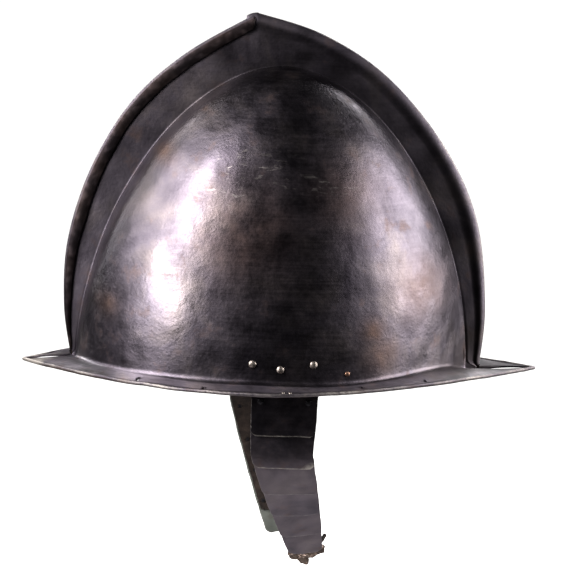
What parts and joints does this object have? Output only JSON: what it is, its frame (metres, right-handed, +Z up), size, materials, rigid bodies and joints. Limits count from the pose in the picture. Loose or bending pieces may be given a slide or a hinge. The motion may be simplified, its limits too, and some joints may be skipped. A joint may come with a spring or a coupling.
{
  "type": "morion helmet",
  "caption": "Combed steel morion with a pointed rolled brim and hanging laminated cheek pieces on leather.",
  "frame": {"origin": "centre of the bowl's base, where the wearer's head enters", "axes": "+X the wearer's front, +Y the wearer's left, +Z up"},
  "size_m": [0.3435, 0.2242, 0.3661],
  "materials": {
    "blackened_steel": "blackened, worn bright in places",
    "blackened_lame": "blackened, worn grey edges",
    "steel_rivet": "worn domed heads",
    "brass_rivet": "tarnished",
    "old_leather": "dry, cracked and torn at the ends"
  },
  "bodies": {
    "root": {"bowl_rivet_left_1": "steel_rivet", "bowl_rivet_left_2": "steel_rivet", "bowl_rivet_left_3": "steel_rivet", "bowl_rivet_right_1": "steel_rivet", "bowl_rivet_right_2": "steel_rivet", "bowl_rivet_right_3": "steel_rivet", "cheek_lame_left_1": "blackened_lame", "cheek_lame_left_2": "blackened_lame", "cheek_lame_left_3": "blackened_lame", "cheek_lame_left_4": "blackened_lame", "cheek_lame_left_5": "blackened_lame", "cheek_lame_left_6": "blackened_lame", "cheek_lame_right_1": "blackened_lame", "cheek_lame_right_2": "blackened_lame", "cheek_lame_right_3": "blackened_lame", "cheek_lame_right_4": "blackened_lame", "cheek_lame_right_5": "blackened_lame", "cheek_lame_right_6": "blackened_lame", "cheek_strap_left": "old_leather", "cheek_strap_right": "old_leather", "lame_rivet_left_1_front": "steel_rivet", "lame_rivet_left_1_rear": "steel_rivet", "lame_rivet_left_2_front": "steel_rivet", "lame_rivet_left_2_rear": "steel_rivet", "lame_rivet_left_3_front": "steel_rivet", "lame_rivet_left_3_rear": "steel_rivet", "lame_rivet_left_4_front": "steel_rivet", "lame_rivet_left_4_rear": "steel_rivet", "lame_rivet_left_5_front": "steel_rivet", "lame_rivet_left_5_rear": "steel_rivet", "lame_rivet_left_6_front": "steel_rivet", "lame_rivet_left_6_rear": "steel_rivet", "lame_rivet_right_1_front": "steel_rivet", "lame_rivet_right_1_rear": "steel_rivet", "lame_rivet_right_2_front": "steel_rivet", "lame_rivet_right_2_rear": "steel_rivet", "lame_rivet_right_3_front": "steel_rivet", "lame_rivet_right_3_rear": "steel_rivet", "lame_rivet_right_4_front": "steel_rivet", "lame_rivet_right_4_rear": "steel_rivet", "lame_rivet_right_5_front": "steel_rivet", "lame_rivet_right_5_rear": "steel_rivet", "lame_rivet_right_6_front": "steel_rivet", "lame_rivet_right_6_rear": "steel_rivet", "left_half": "blackened_steel", "lining_rivet_left": "brass_rivet", "lining_rivet_right": "brass_rivet", "right_half": "blackened_steel"}
  },
  "joints": []
}
